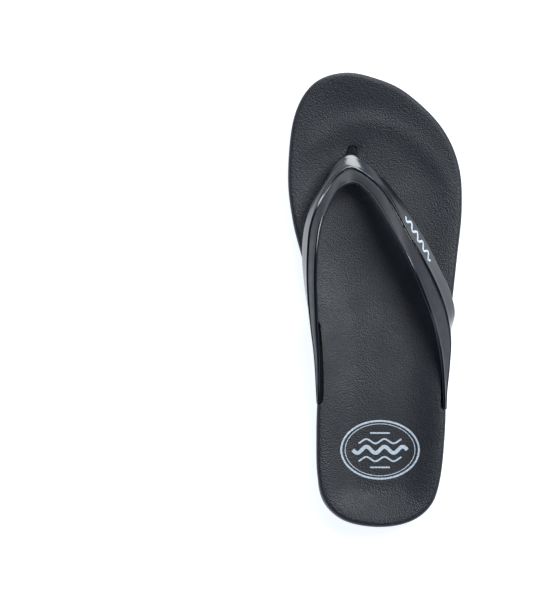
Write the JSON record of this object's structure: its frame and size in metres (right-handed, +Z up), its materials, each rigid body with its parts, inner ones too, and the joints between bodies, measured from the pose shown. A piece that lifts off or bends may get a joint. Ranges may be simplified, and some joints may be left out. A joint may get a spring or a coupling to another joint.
{
  "type": "flip flop",
  "caption": "Right-foot thong sandal with a layered ribbed sole, a dished grained footbed and a moulded V strap held by a toe post and side pegs.",
  "frame": {"origin": "middle of the bounding box in plan, on the ground under the sole", "axes": "+Z up, +Y from the heel to the toe, +X from the big toe side to the little toe side"},
  "size_m": [0.1057, 0.275, 0.053],
  "materials": {
    "tread_rubber": "satin moulded charcoal rubber",
    "midsole_foam": "satin moulded charcoal foam with a fine skin",
    "footbed_grain": "matt charcoal with a fine pebbled leather grain",
    "strap_vinyl": "moulded vinyl, smooth and glossy in front, finely textured behind",
    "plug_vinyl": "satin moulded vinyl",
    "print_ink": "pale screen-printed ink"
  },
  "bodies": {
    "root": {"outsole": "tread_rubber", "midsole": "midsole_foam", "footbed": "footbed_grain", "arch_shank": "tread_rubber", "strap": "strap_vinyl", "toe_plug": "plug_vinyl", "front_medial_plug": "plug_vinyl", "rear_medial_plug": "plug_vinyl", "front_lateral_plug": "plug_vinyl", "rear_lateral_plug": "plug_vinyl"}
  },
  "joints": []
}
